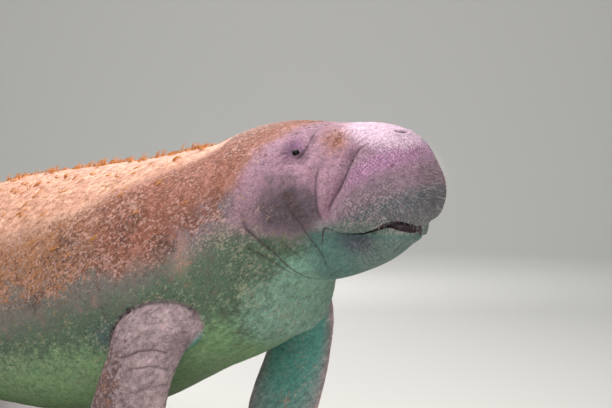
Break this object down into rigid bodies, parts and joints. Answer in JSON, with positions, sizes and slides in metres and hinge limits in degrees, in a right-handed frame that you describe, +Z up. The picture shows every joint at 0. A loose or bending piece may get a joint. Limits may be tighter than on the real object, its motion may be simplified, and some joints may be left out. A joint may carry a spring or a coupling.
{
  "type": "manatee",
  "caption": "Life-size manatee as a still display model, head raised and flippers hanging, held over a flat base by upright rods.",
  "frame": {"origin": "centre of the stand base's underside, on the floor", "axes": "+X forward towards the head, +Y the animal's left, +Z up"},
  "size_m": [2.9342, 0.8, 0.9945],
  "materials": {
    "skin": "matt, finely wrinkled skin, pinkish grey with brown algae over the back",
    "eye": "wet gloss",
    "base_wood": "satin varnish",
    "rod_steel": "fine brushed"
  },
  "bodies": {
    "root": {"head": "skin", "lower_jaw": "skin", "neck": "skin", "torso": "skin", "tail_stock": "skin", "tail_paddle": "skin", "flipper_right": "skin", "flipper_left": "skin", "eye_right": "eye", "eye_left": "eye", "stand_base": "base_wood", "stand_rod_front": "rod_steel", "stand_rod_rear": "rod_steel"}
  },
  "joints": []
}
